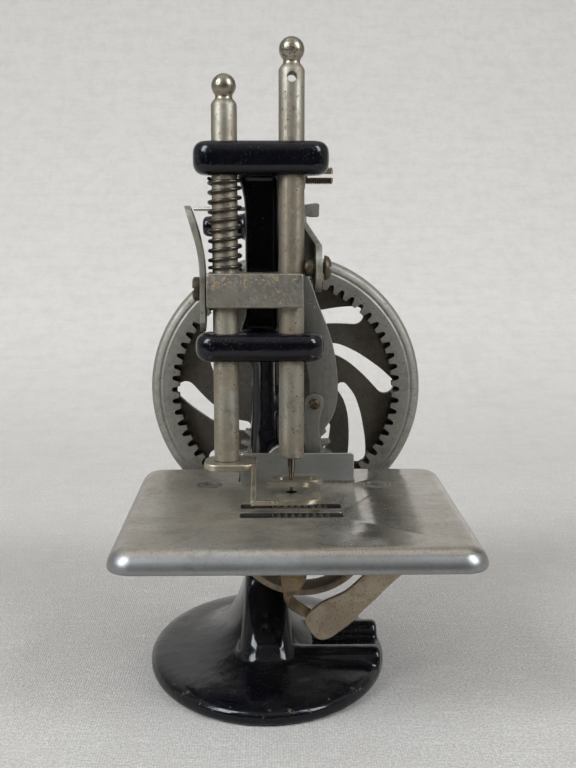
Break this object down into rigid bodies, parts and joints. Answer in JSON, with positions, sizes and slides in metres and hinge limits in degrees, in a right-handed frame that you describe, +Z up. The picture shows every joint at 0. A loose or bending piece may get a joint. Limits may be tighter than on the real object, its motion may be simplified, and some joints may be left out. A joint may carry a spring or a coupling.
{
  "type": "hand-cranked sewing machine",
  "caption": "Small antique hand-cranked chain-stitch sewing machine: oval cast base, arm, flat bed, internally geared spoked wheel, needle and presser bars.",
  "frame": {"origin": "centre of the oval base's flat underside, on the table", "axes": "+Z up, +Y from the needle to the hand wheel, +X towards the person sewing"},
  "size_m": [0.0891, 0.1274, 0.1696],
  "materials": {
    "black_enamel": "gloss black stoving enamel on cast iron",
    "bed_nickel": "worn nickel plate with fine scratches and stains",
    "nickel_plate": "aged nickel plate with brown pitting",
    "dull_steel": "dull nickel on steel",
    "raw_steel": "tan-brown tarnished sheet steel",
    "browned_steel": "rust-browned steel",
    "needle_steel": "polished steel",
    "turned_wood": "black-stained turned wood"
  },
  "bodies": {
    "frame": {"frame_casting": "black_enamel", "bed_plate": "bed_nickel", "bed_screw_left": "dull_steel", "bed_screw_right": "dull_steel", "wheel_axle_screw": "dull_steel", "lever_pivot_screw": "dull_steel", "tension_stud": "dull_steel", "tension_disc_inner": "nickel_plate", "tension_disc_outer": "nickel_plate", "tension_spring": "nickel_plate", "thread_guide": "dull_steel", "guide_screw": "dull_steel", "thread_wire": "nickel_plate", "looper_bracket": "raw_steel", "rocker_bracket": "raw_steel", "presser_spring": "nickel_plate"},
    "wheel": {"hand_wheel": "nickel_plate", "crank_spindle": "dull_steel"},
    "knob": {"crank_knob": "turned_wood"},
    "crankshaft": {"pinion": "dull_steel", "pinion_shaft": "nickel_plate", "crank_disc": "dull_steel"},
    "needle": {"needle_bar": "nickel_plate", "needle": "needle_steel", "needle_set_screw": "dull_steel", "needle_bar_stud": "browned_steel"},
    "lever": {"needle_lever": "nickel_plate", "pitman_pin": "dull_steel"},
    "pitman": {"pitman": "dull_steel", "drive_rod": "nickel_plate", "drive_rod_rivet": "browned_steel"},
    "presser": {"presser_bar": "nickel_plate", "guide_block": "dull_steel", "block_set_screw": "dull_steel", "presser_foot": "nickel_plate", "lifter_screw": "browned_steel"},
    "lifter": {"lifter_lever": "nickel_plate"},
    "nut": {"tension_nut": "dull_steel"},
    "feed": {"feed_dog": "dull_steel", "feed_carrier": "raw_steel", "feed_screw_left": "dull_steel", "feed_screw_right": "dull_steel"},
    "looper": {"looper": "nickel_plate", "looper_shaft": "dull_steel", "looper_arm": "raw_steel"},
    "rocker": {"rocker_shaft": "dull_steel", "rocker_arm": "raw_steel", "looper_drive_lever": "raw_steel"}
  },
  "joints": [
    {"name": "hand_wheel_spin", "type": "hinge", "parent": "frame", "child": "wheel", "pos_m": [0.0054, 0.037, 0.07135], "axis": [0, 1, 0], "continuous": true},
    {"name": "crank_knob_spin", "type": "hinge", "parent": "wheel", "child": "knob", "pos_m": [-0.00571, 0.056, 0.04241], "axis": [0, 1, 0], "continuous": true},
    {"name": "pinion_spin", "type": "hinge", "parent": "frame", "child": "crankshaft", "pos_m": [0.0054, 0.026, 0.05155], "axis": [0, 1, 0], "continuous": true},
    {"name": "needle_bar_slide", "type": "slide", "parent": "frame", "child": "needle", "axis": [0, 0, 1], "range_m": [0, 0.017]},
    {"name": "needle_lever_swing", "type": "hinge", "parent": "frame", "child": "lever", "pos_m": [0.0085, 0.023, 0.1203], "axis": [-1, 0, 0], "range_deg": [0, 40.3]},
    {"name": "pitman_swing", "type": "hinge", "parent": "lever", "child": "pitman", "pos_m": [0.0066, 0.01439, 0.11629], "axis": [1, 0, 0], "range_deg": [0, 40.3]},
    {"name": "rocker_swing", "type": "hinge", "parent": "frame", "child": "rocker", "pos_m": [0.037, -0.005, 0.039], "axis": [0, 1, 0], "range_deg": [0, 16.25]},
    {"name": "looper_swing", "type": "hinge", "parent": "frame", "child": "looper", "pos_m": [0.0064, -0.012, 0.034], "axis": [0, 1, 0], "range_deg": [0, 32.75]},
    {"name": "presser_bar_slide", "type": "slide", "parent": "frame", "child": "presser", "axis": [0, 0, -1], "range_m": [0, 0.002], "deforming": ["presser_spring"]},
    {"name": "lifter_turn", "type": "hinge", "parent": "presser", "child": "lifter", "pos_m": [-0.0178, 0, 0.104], "axis": [-1, 0, 0], "range_deg": [0, 90.05]},
    {"name": "tension_nut_turn", "type": "hinge", "parent": "frame", "child": "nut", "pos_m": [0.009, 0.0132, 0.1342], "axis": [1, 0, 0], "range_deg": [-180, 180]},
    {"name": "feed_slide", "type": "slide", "parent": "frame", "child": "feed", "axis": [1, 0, 0], "range_m": [-0.0015, 0.0015]}
  ],
  "couplings": [
    {"joint": "pinion_spin", "follows": "hand_wheel_spin", "ratio": 2.5},
    {"joint": "needle_lever_swing", "follows": "needle_bar_slide", "rad_per_m": 41.323},
    {"joint": "pitman_swing", "follows": "needle_bar_slide", "rad_per_m": 41.323},
    {"joint": "rocker_swing", "follows": "needle_bar_slide", "rad_per_m": 16.632},
    {"joint": "looper_swing", "follows": "needle_bar_slide", "rad_per_m": 33.572},
    {"joint": "lifter_turn", "follows": "presser_bar_slide", "rad_per_m": 785.4}
  ]
}
